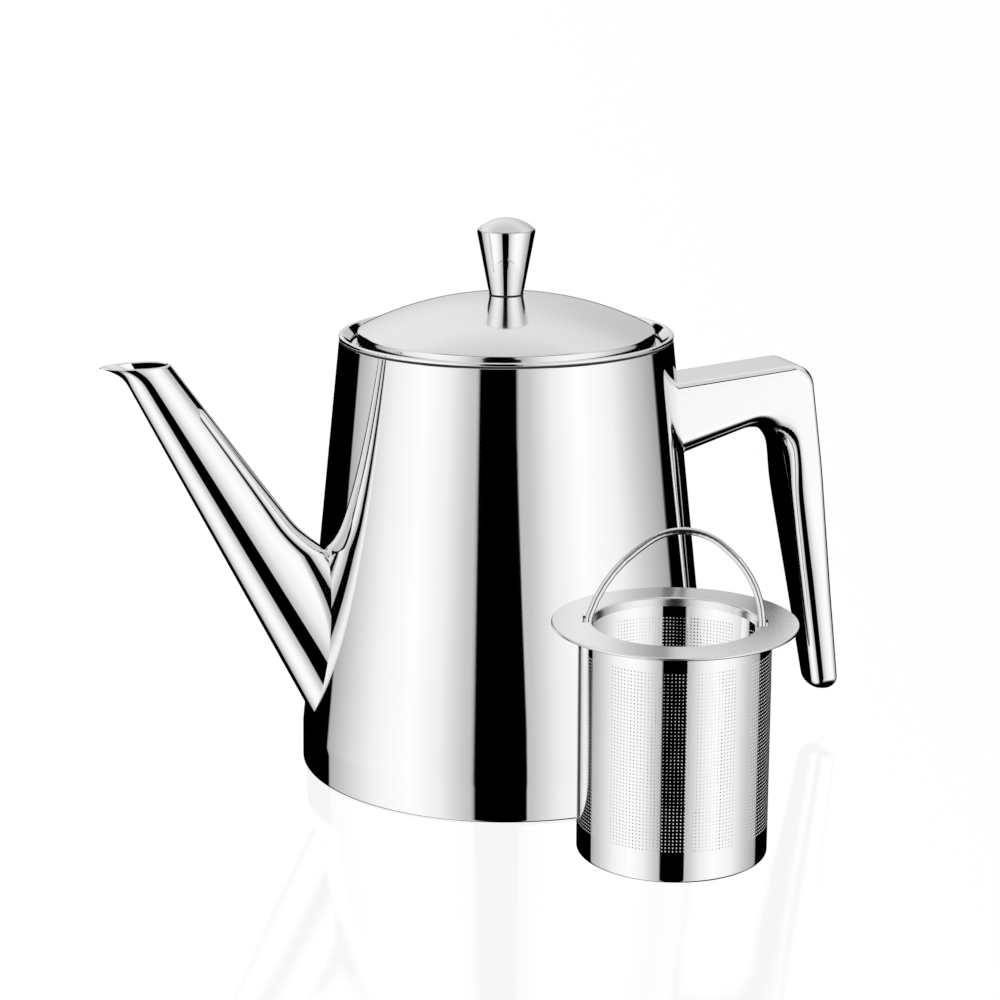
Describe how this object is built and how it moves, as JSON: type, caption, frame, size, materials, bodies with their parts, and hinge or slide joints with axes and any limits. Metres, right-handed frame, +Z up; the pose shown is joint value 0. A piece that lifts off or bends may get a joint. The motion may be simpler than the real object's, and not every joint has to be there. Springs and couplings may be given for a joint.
{
  "type": "teapot with infuser",
  "caption": "Conical steel teapot with a straight oblique spout, a domed lid with a knob, an angular open handle and a lift-out perforated infuser basket with a wire bail.",
  "frame": {"origin": "centre of the pot's flat underside, on the table", "axes": "+Z up along the pot's axis, -X towards the spout, +X towards the handle, the infuser stands on the -Y side"},
  "size_m": [0.2258, 0.1825, 0.1613],
  "materials": {
    "polished_steel": "mirror-polished stainless steel",
    "satin_steel": "fine satin stainless steel",
    "inner_steel": "plain pressed stainless steel"
  },
  "bodies": {
    "pot": {"pot_body": "polished_steel", "base_disc": "satin_steel", "mouth_ring": "polished_steel", "seat_ring": "inner_steel", "spout": "polished_steel", "handle_half_left": "polished_steel", "handle_half_right": "polished_steel", "handle_saddle": "inner_steel"},
    "lid": {"lid_dome": "satin_steel", "lid_ring": "inner_steel", "knob_shell": "polished_steel", "knob_cap": "satin_steel", "knob_boss": "inner_steel", "knob_screw": "inner_steel", "knob_washer": "inner_steel"},
    "infuser": {"basket_wall": "polished_steel", "basket_floor": "polished_steel", "basket_flange": "satin_steel", "bail_eye_left": "inner_steel", "bail_eye_right": "inner_steel"},
    "bail": {"bail": "satin_steel"}
  },
  "joints": [
    {"name": "lid_lift", "type": "slide", "parent": "pot", "child": "lid", "axis": [0, 0, 1], "range_m": [0, 0.06]},
    {"name": "infuser_lift", "type": "slide", "parent": "pot", "child": "infuser", "axis": [0, 0, 1], "range_m": [0, 0.12]},
    {"name": "bail_swing", "type": "hinge", "parent": "infuser", "child": "bail", "pos_m": [0.0184, -0.0883, 0.0608], "axis": [0.9245, -0.3811, 0], "range_deg": [0, 50]}
  ]
}
